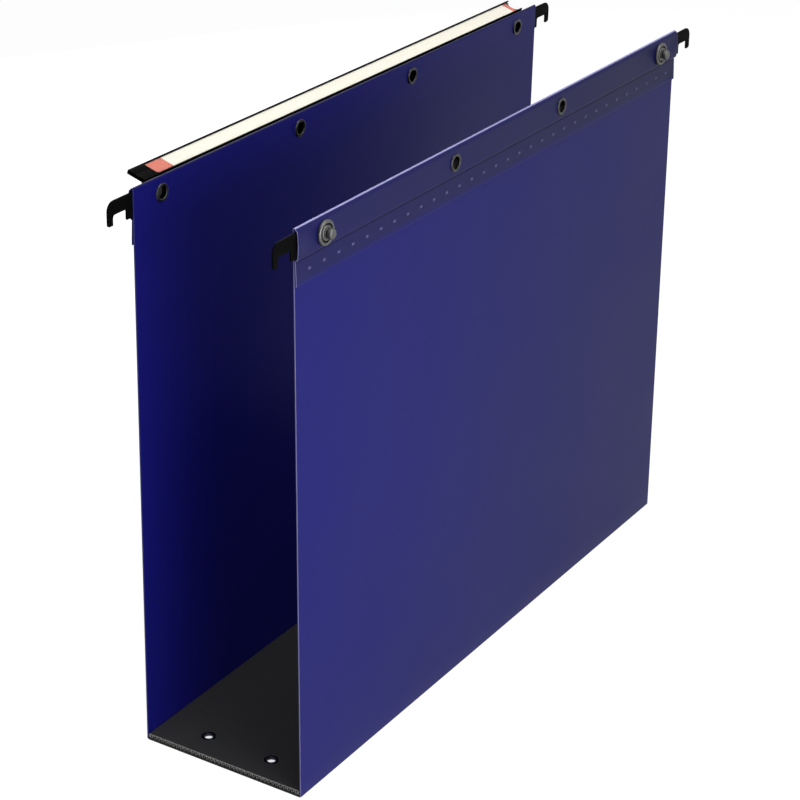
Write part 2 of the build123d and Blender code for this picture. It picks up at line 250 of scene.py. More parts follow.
def in_bore(profile, points):
    """One for the points of a turned tube that lie on its bore's straight part, and zero for the others."""
    return (profile.imag < profile.imag.min() + bore_margin)[:, None] + 0 * points[..., 0]


def middle(box):
    """The middle of a box."""
    return (box[0] + box[1]) / 2


black_eyelet, shader, place = new_finish("black_eyelet", metallic=0.85)
scuff = noise(black_eyelet, place, eyelet_scuff, detail=4.0)
rim = mixed(black_eyelet, scuff, tone(36, 36, 38), tone(68, 68, 70))
bore = add_node(black_eyelet, "ShaderNodeAttribute", attribute_name="bore").outputs["Fac"]
# Painted shade: the bore is painted nearly black for the shade inside the hole.
link(black_eyelet, mixed(black_eyelet, bore, rim, tone(10, 10, 11)), shader, "Base Color")
link(black_eyelet, between(black_eyelet, scuff, 0.15, 0.3), shader, "Roughness")
relief(black_eyelet, shader, noise(black_eyelet, place, eyelet_grain), eyelet_grain_depth)

rivet_steel, shader, place = new_finish("rivet_steel", metallic=1.0)
scuff = noise(rivet_steel, place, rivet_scuff, detail=3.0)
rim = mixed(rivet_steel, scuff, tone(24, 24, 34), tone(52, 52, 62))
bore = add_node(rivet_steel, "ShaderNodeAttribute", attribute_name="bore").outputs["Fac"]
link(rivet_steel, mixed(rivet_steel, bore, rim, tone(232, 232, 236)), shader, "Base Color")
link(rivet_steel, between(rivet_steel, scuff, 0.14, 0.28), shader, "Roughness")

for side in ("front", "back"):
    for end in ("left", "right"):
        node = f"base_eyelet_{side}_{end}"
        low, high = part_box(node)
        tall, flange = high.z - low.z, (high.x - low.x) / 2
        barrel = flange - flange_overhang
        bore = barrel - eyelet_wall
        corners = [
            0 + 1j * bore,
            0 + 1j * flange,
            base_flange + 1j * flange,
            base_flange + 1j * barrel,
            tall - base_flange + 1j * barrel,
            tall - base_flange + 1j * flange,
            tall + 1j * flange,
            tall + 1j * bore,
            tall - mouth_coat + 1j * bore,
            tall - mouth_coat - coat_edge + 1j * bore,
        ]
        foot = (*middle((low, high)).xy, low.z)
        profile = rounded(corners, base_eyelet_radii)
        points, faces = turned(profile, foot, (0, 0, 1))
        is_bare = profile.real < tall - mouth_coat - coat_edge / 2
        deep = in_bore(profile, points) * is_bare[:, None]
        name = f"base_rivet_{side}_{end}"
        new_piece(name, points, faces, rivet_steel, "base", "black_eyelet", node, bore=deep)

# Walls: one blue polypropylene sheet each, hinged beside the base by its rounded lower edge and leaning in
# a little. The top is folded outward over the bar, creased under it and spot-welded in a row above the
# flap's free edge.
sheet = 0.6 * mm
hem = 2.2 * mm
wall_lean = radians(0.5)
fold_clearance = 0.15 * mm
fold_spot = complex(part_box("base_sheet")[1].y + fold_clearance + sheet / 2, fold_clearance + sheet / 2)
ridge_round = 0.35 * mm
ridge_rise = 0.35 * mm
shoulder_drop = 1.45 * mm
shoulder_round = 1.0 * mm
taper = 1.0 * mm
taper_round = 0.9 * mm
crease_drop = 13.6 * mm
crease_half = 0.35 * mm
crease_depth = 0.22 * mm
crease_round = 0.35 * mm
flap_drop = 24.0 * mm
flap_lift = 0.3 * mm
mouth_bulge = 0.45 * mm
mouth_depth = 11.0 * mm
weld_drop = 18.75 * mm
weld_pitch = 10.0 * mm
weld_count = 31
weld_half = (0.85 * mm, 0.5 * mm)
weld_rise = 0.16 * mm
hole_radius = 3.15 * mm
edge_round = 0.12 * mm

# Where the grid's rows and columns lie
fold_rows = 2.2 * mm
crease_rows = (1.2 * mm, 3.0 * mm)
weld_reach = 1.6
weld_margin = 2.0 * mm
hole_reach = 1.6
hole_inner = 0.99
edge_gaps = np.array([0, 0.035, 0.12, 0.5, 1.5, 3, 5, 8, 11]) * mm
direction_step = 0.04 * mm
same_spot = 1e-8

# How pale the marks are, how much pale mark the shaded seam keeps, where the fold's painted highlight and the
# flap's greyer tone begin and end, and the upward turn where painted shade starts on the top
seam_shaded_share = 0.1
tip_mark = 0.08
weld_mark = 0.28
fold_highlight_span = np.array([-0.45, -0.25, 0.36, 0.54]) * mm
flap_fade = 2.2 * mm
top_shade_turn = (0.2, 0.5)

# Finish
wall_cloud = 45 * mm
wall_grain = 0.7 * mm
wall_grain_depth = 0.02 * mm


def smooth(low, high, value):
    """Rises from zero at low to one at high, level at both ends."""
    share = np.clip((value - low) / (high - low), 0, 1)
    return share * share * (3 - 2 * share)


def swung(points, angle):
    """Turns points about the fold of their wall; a positive angle leans the wall in over the base."""
    way = np.sign(points[..., 1].mean())
    place = way * points[..., 1] + 1j * points[..., 2]
    place = fold_spot + (place - fold_spot) * np.exp(1j * angle)
    return np.stack([points[..., 0], way * place.real, place.imag], -1)


def upright(node):
    """The lowest and the highest corner of a CAD node, with its wall swung upright."""
    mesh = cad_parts[node].data
    points = np.empty(3 * len(mesh.vertices), np.float32)
    mesh.vertices.foreach_get("co", points)
    points = swung(points.reshape(-1, 3).astype(float), -wall_lean)
    return Vector(points.min(0)), Vector(points.max(0))


def wall_surface(node, holes, fold_highlight_strength, cut_pale_and_highlight):
    """The sheet as a strip along the route of its middle line, carried across the folder's width.

    Each point of the route is set off by half the sheet to both sides. Round the holes, squares of the grid
    are drawn onto circles, and the cells inside them are left out. The marks say how strong the painted
    highlight on the top fold is, and how light the cut edges are, partly their own colour and partly painted
    highlight.
    """
    low, high = upright(node)
    side = np.sign(low.y + high.y)
    inside = min(abs(low.y), abs(high.y))
    top, foot, wide = high.z, low.z, high.x
    hole_z = middle(upright(holes[0])).z
    half = sheet / 2
    corners = [
        half + 1j * foot,
        half + 1j * (top - half + ridge_rise),
        hem - half + 1j * (top - shoulder_drop),
        hem - half + 1j * (top - crease_drop + taper),
        3 * half + 1j * (top - crease_drop),
        3 * half + 1j * (top - flap_drop),
    ]
    route = rounded(corners, [0, ridge_round, shoulder_round, taper_round, crease_round, 0], steps=15)
    route = route[np.append(True, np.abs(np.diff(route)) > same_spot)]
    length = np.append(0, np.cumsum(np.abs(np.diff(route))))
    fold = np.argmax(route.imag)
    crease_z, weld_z, end_z = top - crease_drop, top - weld_drop, top - flap_drop

    # Heights where the rows lie: close together at rounded edges, holes, crease and welds
    lip = half * (1 - np.cos(np.linspace(0, pi / 2, 6)))
    half_steps = np.array([0, 0.25, 0.5, 0.75, 1, 1.3, hole_reach])
    hole_steps = hole_radius * np.concatenate([-half_steps[:0:-1], half_steps])
    weld_steps = np.linspace(-weld_reach, weld_reach, 9)
    wall_rows = np.concatenate([foot + lip, np.linspace(foot, end_z, 26)[1:], hole_z + hole_steps])
    flap_rows = np.concatenate(
        [
            hole_z + hole_steps,
            np.linspace(crease_z - crease_rows[0], crease_z + crease_rows[1], 22),
            weld_z + weld_half[1] * weld_steps,
            np.linspace(end_z + lip.max(), weld_z - weld_margin, 4),
            end_z + lip,
        ]
    )
    wall_s = np.interp(wall_rows, route.imag[: fold + 1], length[: fold + 1])
    flap_s = np.interp(-flap_rows, -route.imag[fold:], length[fold:])
    fold_s = length[fold] + np.linspace(-fold_rows, fold_rows, 25)
    along = np.unique(np.round(np.concatenate([wall_s, fold_s, flap_s]), 8))

    def at(s):
        """The route's point at a length along it."""
        return np.interp(s, length, route.real) + 1j * np.interp(s, length, route.imag)

    line = at(along)
    outward = -1j * (at(along + direction_step) - at(along - direction_step))
    outward /= np.abs(outward)
    end_gap = np.minimum(along, length[-1] - along)
    thick = half * np.sqrt(1 - np.clip(1 - end_gap / half, 0, 1) ** 2)

    # Columns across the width: close together at the cut edges, the welds and the holes
    welds = (np.arange(weld_count) - weld_count // 2) * weld_pitch
    weld_columns = welds[:, None] + weld_half[0] * weld_steps
    centres = np.array([middle(upright(hole)).x for hole in holes])
    hole_columns = centres[:, None] + hole_steps
    cut = wide - edge_gaps
    x = np.concatenate([weld_columns.ravel(), hole_columns.ravel(), cut, -cut, welds + weld_pitch / 2])
    x = x[np.abs(x) <= wide]
    x = np.unique(np.round(x, 6))

    # Both faces of the strip, one after the other, as a closed band
    gap = wide - np.abs(x)
    shrink = edge_round - np.sqrt(edge_round**2 - np.clip(edge_round - gap, 0, edge_round) ** 2)
    half_thick = np.maximum(thick[:, None] - shrink, 0)
    end_share = 1 - smooth(0, mouth_depth, gap)
    on_flap = along > length[fold]
    hem_share = np.clip((line.imag - crease_z) / (top - crease_z), 0, 1)
    bulge = mouth_bulge * np.sin(pi * hem_share) ** 1.5 * on_flap
    lift = flap_lift * smooth(crease_z, end_z, line.imag) * on_flap
    line = line[:, None] + (bulge + lift)[:, None] * end_share**2
    offset = outward[:, None] * half_thick
    band = np.concatenate([line + offset, (line - offset)[::-1]])
    count = len(along)
    face_s = np.concatenate([along, along[::-1]])
    shown = np.arange(2 * count) >= count
    outer_flap = (shown & (face_s > length[fold]))[:, None]
    x_grid, out, z = np.broadcast_arrays(x, band.real, band.imag)
    x_grid, out, z = x_grid.copy(), out.copy(), z.copy()

    # Crease: a narrow groove in the flap's outer face, whose shape also sets the painted shade in the crease
    groove_and_shade = np.exp(-(((z - crease_z) / crease_half) ** 2)) * outer_flap
    out -= crease_depth * groove_and_shade

    # Welds: low domes on the flap's outer face
    to_weld = (x_grid + weld_pitch / 2) % weld_pitch - weld_pitch / 2
    dome = np.exp(-((to_weld / weld_half[0]) ** 4) - ((z - weld_z) / weld_half[1]) ** 4)
    dome *= outer_flap
    out += weld_rise * dome

    # Holes for the eyelets and posts
    inner = np.zeros_like(x_grid, bool)
    for centre in centres:
        dx, dz = x_grid - centre, z - hole_z
        square = np.maximum(np.abs(dx), np.abs(dz))
        share = np.clip((square / hole_radius - 1) / (hole_reach - 1), 0, 1)
        ring = square / np.maximum(np.hypot(dx, dz), tiny)
        scale = np.where(square < hole_reach * hole_radius, ring * (1 - share) + share, 1)
        inner |= square < hole_inner * hole_radius
        x_grid, z = centre + dx * scale, hole_z + dz * scale

    rows, columns = x_grid.shape
    quads = grid_faces(rows, columns, close_rows=True)
    quads = quads[~inner.ravel()[quads].any(1)]
    pairs = np.arange(count - 1)
    ladder = np.stack([pairs, pairs + 1, rows - 2 - pairs, rows - 1 - pairs], -1) * columns
    faces = quads.tolist() + ladder.tolist() + (ladder + columns - 1).tolist()
    points = np.stack([x_grid, side * (inside + out), z], -1)

    # Shades: pale weld spots, cut edges pale partly of their own and partly as painted highlight, with little
    # of it in the shaded seam, a painted highlight along the front's top fold, greyer on the flap, and
    # painted shade on the top's upward faces and in the crease
    up = np.concatenate([outward.imag, -outward.imag[::-1]])
    edge = np.clip(1 - gap / edge_round, 0, 1)
    tip = 1 - np.concatenate([thick, thick[::-1]]) / half
    past_fold = face_s - length[fold]
    # Painted highlight: a pale line along the top fold's crest, where light from above falls on it.
    fold_highlight_share = smooth(*fold_highlight_span[:2], past_fold) - smooth(*fold_highlight_span[2:], past_fold)
    fold_highlight_share *= fold_highlight_strength * shown
    # Painted shade: in the seam between flap and wall, the cut edges keep only a little of their pale mark.
    in_seam = (~shown & (band[:, 0].imag > end_z))[:, None]
    edge = cut_pale_and_highlight * edge * np.where(in_seam, seam_shaded_share, 1.0)
    marks = (edge, tip_mark * tip[:, None], fold_highlight_share[:, None], weld_mark * dome)
    pale_and_highlight = np.maximum.reduce(np.broadcast_arrays(*marks))
    faded = outer_flap * smooth(end_z, end_z + flap_fade, z)
    # Painted shade: upward faces at the top of the shown side take the flap's greyer tone, against the light
    # from above.
    flap_and_top_shade = np.maximum(faded, (smooth(*top_shade_turn, up) * shown)[:, None])
    return points, faces, {"pale_and_highlight": pale_and_highlight, "flap_and_top_shade": flap_and_top_shade, "crease_shade": groove_and_shade}


blue_sheet, shader, place = new_finish("blue_sheet", specular=0.1)
cloud = noise(blue_sheet, place, wall_cloud, detail=3.0)
pale_and_highlight = add_node(blue_sheet, "ShaderNodeAttribute", attribute_name="pale_and_highlight").outputs["Fac"]
flap_and_top_shade = add_node(blue_sheet, "ShaderNodeAttribute", attribute_name="flap_and_top_shade").outputs["Fac"]
crease_shade = add_node(blue_sheet, "ShaderNodeAttribute", attribute_name="crease_shade").outputs["Fac"]
blue = mixed(blue_sheet, cloud, tone(13, 13, 90), tone(16, 16, 97))
# The flap's greyer tone, which on the top's upward faces is painted shade.
blue = mixed(blue_sheet, flap_and_top_shade, blue, tone(17, 17, 70))
# Painted shade in the crease.
blue = mixed(blue_sheet, crease_shade, blue, tone(5, 5, 52))
# Pale blue for the weld spots and cut edges, and painted highlight on the top fold and partly on the cut
# edges.
link(blue_sheet, mixed(blue_sheet, pale_and_highlight, blue, tone(152, 150, 202)), shader, "Base Color")
link(blue_sheet, between(blue_sheet, cloud, 0.38, 0.46), shader, "Roughness")
relief(blue_sheet, shader, noise(blue_sheet, place, wall_grain, detail=3.0), wall_grain_depth, strength=0.6)

# The front's top fold gets the painted highlight and the back's none. The back's cut edges get a quarter of
# their pale mark.
for side, fold_highlight_strength, cut_pale_and_highlight in (("front", 0.9, 1.0), ("back", 0.0, 0.25)):
    holes = [f"{side}_{kind}_{end}" for kind in ("eyelet", "post") for end in ("left", "right")]
    points, faces, shades = wall_surface(f"{side}_panel", holes, fold_highlight_strength, cut_pale_and_highlight)
    points = swung(points, wall_lean)
    body = f"{side}_wall"
    new_piece(f"{side}_wall_sheet", points, faces, blue_sheet, body, "blue_sheet", f"{side}_panel", **shades)

# Hook bars: flat steel strips, blanked with a hook at each end and coated matt black.
# Each lies loose in its hem and is held there by the eyelets and posts that go through it.
bar_rim = 0.18 * mm
hook_leg = 3.3 * mm
hook_notch = 8.3 * mm
hook_neck = 6.0 * mm
leg_trim = 0.3 * mm
hook_radii = np.array([0.4, 0.9, 1.2, 0.4, 1.2, 4.0]) * mm
bar_cloud = 6 * mm
bar_grain = 0.35 * mm
bar_grain_depth = 0.015 * mm


def plate(loops, thickness, rim):
    """A flat plate: each closed loop is set in by a quarter round at both faces, and the faces are filled.

    Loops are complex outlines, the first one counter-clockwise round the plate and the others clockwise
    round its holes. The result is across, up and depth for each point.
    """
    turn = np.linspace(0, pi / 2, 5)
    inset = rim * np.concatenate([1 - np.sin(turn), 1 - np.cos(turn)])
    depth = np.concatenate([rim * (1 - np.cos(turn)), thickness - rim * (1 - np.sin(turn))])
    points, faces, front, back, start = [], [], [], [], 0
    for loop in loops:
        tangent = np.roll(loop, -1) - np.roll(loop, 1)
        inward = 1j * tangent / np.abs(tangent)
        ring = loop + inset[:, None] * inward
        points.append(np.stack([ring.real, ring.imag, depth[:, None] + 0 * ring.real], -1).reshape(-1, 3))
        faces += (grid_faces(len(inset), len(loop), close_columns=True) + start).tolist()
        front.append(np.arange(len(loop)) + start)
        back.append(np.arange(len(loop)) + start + (len(inset) - 1) * len(loop))
        start += ring.size
    points = np.concatenate(points)
    front, back = np.concatenate(front), np.concatenate(back)
    outlines = np.split(points[front], np.cumsum([len(loop) for loop in loops])[:-1])
    fill = np.array(tessellate_polygon([outline.tolist() for outline in outlines]))
    return points, faces + front[fill].tolist() + back[fill].tolist()


def circle(centre, radius, count=48):
    """A clockwise circle."""
    return centre + radius * np.exp(-1j * np.linspace(0, 2 * pi, count, endpoint=False))


black_bar, shader, place = new_finish("black_bar", specular=0.01)
cloud = noise(black_bar, place, bar_cloud, detail=4.0)
link(black_bar, mixed(black_bar, cloud, tone(5, 5, 5), tone(11, 11, 11)), shader, "Base Color")
link(black_bar, between(black_bar, cloud, 0.42, 0.6), shader, "Roughness")
relief(black_bar, shader, noise(black_bar, place, bar_grain), bar_grain_depth)

for side in ("front", "back"):
    low, high = upright(f"{side}_bar")
    notch = high.z - hook_neck
    leg, root, tip = high.x - hook_leg, high.x - hook_leg - hook_notch, low.z + leg_trim
    right = [
        root + 1j * low.z,
        root + 1j * notch,
        leg + 1j * notch,
        leg + 1j * tip,
        high.x + 1j * tip,
        high.x + 1j * high.z,
    ]
    corners = np.concatenate([right, -np.conj(right[::-1])])
    outline = rounded(corners, np.concatenate([hook_radii, hook_radii[::-1]]))
    holes = [f"{side}_{kind}_{end}" for kind in ("eyelet", "post") for end in ("left", "right")]
    centres = [middle(upright(hole)) for hole in holes]
    loops = [outline] + [circle(centre.x + 1j * centre.z, hole_radius) for centre in centres]
    points, faces = plate(loops, high.y - low.y, bar_rim)
    points = swung(points[:, [0, 2, 1]] + np.array((0, low.y, 0)), wall_lean)
    new_piece(f"{side}_hook_bar", points, faces, black_bar, f"{side}_wall", "black_bar", f"{side}_bar")

# Middle eyelets: black-finished steel tubes through hem and bar, rolled over to a domed flange on both faces.
# The posts are the same eyelets near the ends, closed on the outside by a press stud or a socket.
hem_flange = 0.6 * mm
barrel_play = 0.15 * mm
barrel_wall = 0.4 * mm
flange_radii = np.array([0.5, 0.5, 0.08, 0.05]) * mm
open_radii = np.array([0.05, 0.05]) * mm

for side, way in (("front", -1), ("back", 1)):
    for kind in ("eyelet", "post"):
        for end in ("left", "right"):
            node = f"{side}_{kind}_{end}"
            low, high = upright(node)
            tall, flange = high.y - low.y, (high.x - low.x) / 2
            barrel = hole_radius - barrel_play
            bore = barrel - barrel_wall
            inner_end = [
                0 + 1j * bore,
                0 + 1j * flange,
                hem_flange + 1j * flange,
                hem_flange + 1j * barrel,
            ]
            if kind == "eyelet":
                corners = np.concatenate([inner_end, tall - np.conj(inner_end[::-1])])
                radii = np.concatenate([flange_radii, flange_radii[::-1]])
            else:
                corners = np.concatenate([inner_end, [tall + 1j * barrel, tall + 1j * bore]])
                radii = np.concatenate([flange_radii, open_radii])
            inner_face = high.y if way < 0 else low.y
            centre = middle((low, high))
            profile = rounded(corners, radii, steps=9)
            points, faces = turned(profile, (centre.x, inner_face, centre.z), (0, way, 0))
            # The bore mask marks where the painted shade inside the hole goes.
            deep = in_bore(profile, points)
            points = swung(points, wall_lean)
            name = f"{side}_rolled_{kind}_{end}"
            new_piece(name, points, faces, black_eyelet, f"{side}_wall", "black_eyelet", node, bore=deep)

# Press studs: nickel-finished steel, turned up from a disc with a beaded rim, a groove, a domed boss,
# a waisted neck and a rounded knob. A spigot behind is riveted into the front post.
spigot_length = 2.0 * mm
arc_steps = 7
stud_scuff = 0.8 * mm
stud_grain = 0.2 * mm
stud_grain_depth = 0.006 * mm

stud_metal, shader, place = new_finish("stud_metal", metallic=0.9)
scuff = noise(stud_metal, place, stud_scuff, detail=4.0)
grey = mixed(stud_metal, scuff, tone(68, 68, 68), tone(106, 106, 105))
recess = add_node(stud_metal, "ShaderNodeAttribute", attribute_name="recess").outputs["Fac"]
# Painted shade: the groove and neck rows of the profile are painted dark for the shade in the stud's
# recesses.
link(stud_metal, mixed(stud_metal, recess, grey, tone(16, 16, 16)), shader, "Base Color")
link(stud_metal, between(stud_metal, scuff, 0.34, 0.5), shader, "Roughness")
relief(stud_metal, shader, noise(stud_metal, place, stud_grain), stud_grain_depth)

stud_profile = np.array(
    [
        # distance out of the hem's face, radius and rounding of each corner, and how much painted shade
        # darkens it
        (-2.0, 0.0, 0.0, 0),
        (-2.0, 2.55, 0.2, 0),
        (0.0, 2.55, 0.0, 0),
        (0.0, 5.2, 0.25, 0),
        (1.4, 5.2, 0.65, 0),
        (1.4, 4.0, 0.3, 0),
        (0.75, 3.75, 0.12, 1),
        (0.8, 3.35, 0.12, 1),
        (1.4, 3.0, 0.35, 0),
        (1.55, 2.1, 0.3, 0.5),
        (2.2, 1.65, 0.3, 1),
        (2.4, 2.2, 0.3, 0),
        (4.3, 2.2, 0.75, 0),
        (4.3, 0.0, 0.0, 0),
    ]
)
for end in ("left", "right"):
    node = f"front_stud_{end}"
    low, high = upright(node)
    centre = middle((low, high))
    along, radius, radii = stud_profile.T[:3] * mm
    profile = rounded(along + 1j * radius, radii, arc_steps)
    points, faces = turned(profile, (centre.x, high.y - spigot_length, centre.z), (0, -1, 0))
    recess_shade_share = np.repeat(stud_profile[:, 3], arc_steps)[:, None] + 0 * points[..., 0]
    points = swung(points, wall_lean)
    name = f"front_press_stud_{end}"
    new_piece(name, points, faces, stud_metal, "front_wall", "stud_metal", node, recess=recess_shade_share)

# Sockets: drawn steel cups on the rail's back, riveted into the back posts, with a groove inside each mouth.
# They take the studs of the next folder in the row and have the studs' finish.
socket_profile = np.array(
    [
        # distance out of the rail's back face, radius and rounding of each corner
        (-2.0, 0.0, 0.0),
        (-2.0, 2.55, 0.2),
        (0.0, 2.55, 0.0),
        (0.0, 4.6, 0.2),
        (0.8, 4.6, 0.4),
        (0.8, 3.9, 0.15),
        (3.2, 3.9, 0.75),
        (3.2, 2.35, 0.35),
        (2.025, 2.35, 0.08),
        (2.025, 2.8, 0.05),
        (1.175, 2.8, 0.05),
        (1.175, 2.35, 0.08),
        (0.5, 2.35, 0.2),
        (0.5, 0.0, 0.0),
    ]
)
for end in ("left", "right"):
    node = f"back_socket_{end}"
    low, high = upright(node)
    centre = middle((low, high))
    along, radius, radii = socket_profile.T * mm
    profile = rounded(along + 1j * radius, radii, arc_steps)
    points, faces = turned(profile, (centre.x, low.y + spigot_length, centre.z), (0, 1, 0))
    points = swung(points, wall_lean)
    new_piece(f"back_press_socket_{end}", points, faces, stud_metal, "back_wall", "socket_metal", node)

# Ring springs: bright spring wire bent to an open ring, snapped into each socket's groove.
# They grip the knob of a stud that is pressed in.
wire_radius = 0.3 * mm
ring_opening = radians(40)
ring_steps = 61
wire_sides = 20
wire_scuff = 0.4 * mm

spring_wire, shader, place = new_finish("spring_wire", metallic=1.0)
scuff = noise(spring_wire, place, wire_scuff, detail=3.0)
link(spring_wire, mixed(spring_wire, scuff, tone(150, 150, 148), tone(190, 190, 187)), shader, "Base Color")
link(spring_wire, between(spring_wire, scuff, 0.18, 0.32), shader, "Roughness")


def open_ring(centre, radius):
    """A wire's circle carried round an arc, shrunk to a half ball at both ends."""
    reach = wire_radius / radius
    rounding = reach * (1 - np.cos(np.linspace(0, pi / 2, 6)))
    span = 2 * pi - ring_opening
    turn = np.linspace(reach, span - reach, ring_steps)[1:-1]
    turn = np.concatenate([rounding, turn, span - rounding[::-1]])
    gap = np.minimum(turn, span - turn) / reach
    wire = wire_radius * np.sqrt(1 - np.clip(1 - gap, 0, 1) ** 2)
    around = np.linspace(0, 2 * pi, wire_sides, endpoint=False)
    out = radius + wire[:, None] * np.cos(around)
    direction = turn[:, None] + ring_opening / 2
    y = centre.y + wire[:, None] * np.sin(around)
    points = np.stack([centre.x + out * np.sin(direction), y, centre.z + out * np.cos(direction)], -1)
    return points, grid_faces(len(turn), len(around), close_columns=True).tolist()


for end in ("left", "right"):
    node = f"socket_spring_{end}"
    low, high = upright(node)
    centre = middle(upright(f"back_socket_{end}"))
    centre.y = middle((low, high)).y
    points, faces = open_ring(centre, (high.x - low.x) / 2 - wire_radius)
    points = swung(points, wall_lean)
    new_piece(f"socket_ring_{end}", points, faces, spring_wire, "back_wall", "spring_wire", node)

# Index rail: black extruded plastic channel, tilted to the reader, on a flange behind the back hem.
# Its left end is closed with a rounded window, and its open right end has a thumb notch in the seat.
rail_tilt = radians(16)
rail_width = 8.8 * mm
rail_plate = 0.7 * mm
rail_slot = 0.75 * mm
rail_lip = 0.42 * mm
rail_side = 0.4 * mm
front_lip = 0.6 * mm
back_lip = 0.8 * mm
rail_flange = 1.5 * mm
rail_set_out = 0.22 * mm
rail_set_down = 1.6 * mm
flange_rise = 0.7 * mm
end_block = 9.0 * mm
window_round = 1.3 * mm
notch_radius = 3.4 * mm
notch_depth = 2.6 * mm
notch_band = 0.3 * mm
notch_run = 4.0 * mm
rail_rim = 0.15 * mm
seat_steps = 21
shut_share = 0.001
end_step = 0.001 * mm
rail_cloud = 8 * mm
rail_grain = 0.4 * mm
rail_grain_depth = 0.012 * mm
rail_low, rail_high = upright("index_rail")
panel_low, panel_high = upright("back_panel")
hem_back = panel_low.y + hem
rail_foot = complex(hem_back + rail_set_out, panel_high.z - rail_set_down)


def rail_point(across, up):
    """A point of the rail's section as y + i * z, from its place across the tilted seat and above it."""
    return rail_foot + (across + 1j * up) * np.exp(1j * rail_tilt)


def rail_surface():
    """The channel's rounded section carried along the rail.

    Its inner corners shrink to a point in the closed end, the lips follow the window's round corners,
    and the seat's last points follow the thumb notch.
    """
    left, right = rail_low.x, rail_high.x
    slot_end = left + end_block
    rim = rail_rim * (1 - np.cos(np.linspace(0, pi / 2, 4)))
    curve = window_round * (1 - np.cos(np.linspace(0, pi / 2, 10)))
    run = np.linspace(left, right, 24)[2:-1]
    x = np.concatenate([left + rim, [slot_end - end_step], slot_end + curve, run])
    x = np.append(x, [right - notch_run, right - rail_rim, right])
    gap = np.clip(window_round - (x - slot_end), 0, window_round)
    corner = window_round - np.sqrt(window_round**2 - gap**2)
    is_open = np.where(x < slot_end, shut_share, 1.0)[:, None]
    front, back = front_lip + corner, rail_width - back_lip - corner
    seat = np.linspace(rail_side, rail_width - rail_side, seat_steps)
    top, under = rail_plate + rail_slot + rail_lip, rail_plate + rail_slot
    flat = 0 * x
    channel = [front + 1j * top, front + 1j * under, rail_side + flat + 1j * under]
    channel += [place + flat + 1j * rail_plate for place in seat]
    channel += [rail_width - rail_side + flat + 1j * under, back + 1j * under, back + 1j * top]
    channel = np.stack(channel, -1)
    summit = rail_width / 2 + 1j * top
    channel = summit + (channel - summit) * is_open
    channel = rail_point(channel.real, channel.imag)
    flange_top = rail_foot.imag + flange_rise
    flange_back = hem_back + rail_flange
    lowest = rail_low.z
    meets = rail_point(0, flange_rise / cos(rail_tilt))
    shell_in = [hem_back + 1j * lowest, hem_back + 1j * flange_top, meets, rail_point(0, top)]
    under_start = (flange_back - rail_foot.real) / cos(rail_tilt)
    underside = rail_point(np.linspace(rail_width, under_start, seat_steps), 0)
    shell_out = [rail_point(rail_width, top), *underside, flange_back + 1j * lowest]
    section = np.concatenate(
        [
            np.broadcast_to(shell_in, (len(x), len(shell_in))),
            channel,
            np.broadcast_to(shell_out, (len(x), len(shell_out))),
        ],
        -1,
    )

    # Rounding of each corner in turn: the flange and front, the channel with its seat, the back and underside
    level = np.zeros(seat_steps - 2)
    shell_soft, lip_soft = [0.3, 0.1, 0.05, 0.25], [0.15, 0.1, 0.05, 0.1]
    back_soft, foot_soft = [0.25, 0.25], [0.25, 0.3]
    soft = [shell_soft, lip_soft, level, lip_soft[::-1], back_soft, level, foot_soft]
    soft = np.concatenate(soft) * mm
    inner = np.zeros(len(soft), bool)
    channel_start, channel_end = len(shell_in), len(shell_in) + channel.shape[1]
    inner[channel_start:channel_end] = True
    radii = np.where(inner, soft * is_open, soft)
    steps = 5
    section = rounded(section, radii, steps)
    x_grid = np.broadcast_to(x[:, None], section.shape).copy()

    # The notch draws the last columns back along the seat and the underside
    is_seat = np.zeros(len(soft), bool)
    seat_start = channel_start + len(lip_soft) - 1
    is_seat[seat_start : seat_start + seat_steps] = True
    is_seat[channel_end + 1 : -1] = True
    is_seat = np.repeat(is_seat, steps)
    across = ((section - rail_foot) * np.exp(-1j * rail_tilt)).real - rail_width / 2
    notch = np.sqrt(np.clip(notch_radius**2 - across**2, 0, None)) - (notch_radius - notch_depth)
    notch = np.clip(notch, 0, None) * is_seat
    x_grid = np.where(right - x_grid < notch_band, x_grid - notch, x_grid)

    points = np.stack([x_grid, section.real, section.imag], -1)
    rows, columns = section.shape
    faces = grid_faces(rows, columns, close_columns=True).tolist()
    for row in (0, rows - 1):
        outline = np.stack([section[row].real, section[row].imag, 0 * section[row].real], -1)
        faces += (np.array(tessellate_polygon([outline.tolist()])) + row * columns).tolist()
    return points, faces


black_rail, shader, place = new_finish("black_rail", specular=0.012)
cloud = noise(black_rail, place, rail_cloud, detail=3.0)
link(black_rail, mixed(black_rail, cloud, tone(5, 5, 5), tone(10, 10, 10)), shader, "Base Color")
link(black_rail, between(black_rail, cloud, 0.4, 0.54), shader, "Roughness")
relief(black_rail, shader, noise(black_rail, place, rail_grain), rail_grain_depth)
points, faces = rail_surface()
points = swung(points, wall_lean)
new_piece("index_channel", points, faces, black_rail, "back_wall", "black_rail", "index_rail")

# Index label: a strip of cream card that lies on the rail's seat, with a plain colour band at both ends.
# It slides in from the right together with the clear strip over it.
card_rim = 0.04 * mm
strip_round = 0.6 * mm
strip_inset = 0.08 * mm
card_thickness = 0.25 * mm
band_left = 11.0 * mm
band_right = 3.0 * mm
fibre_size = 0.8 * mm
fibre_depth = 0.01 * mm


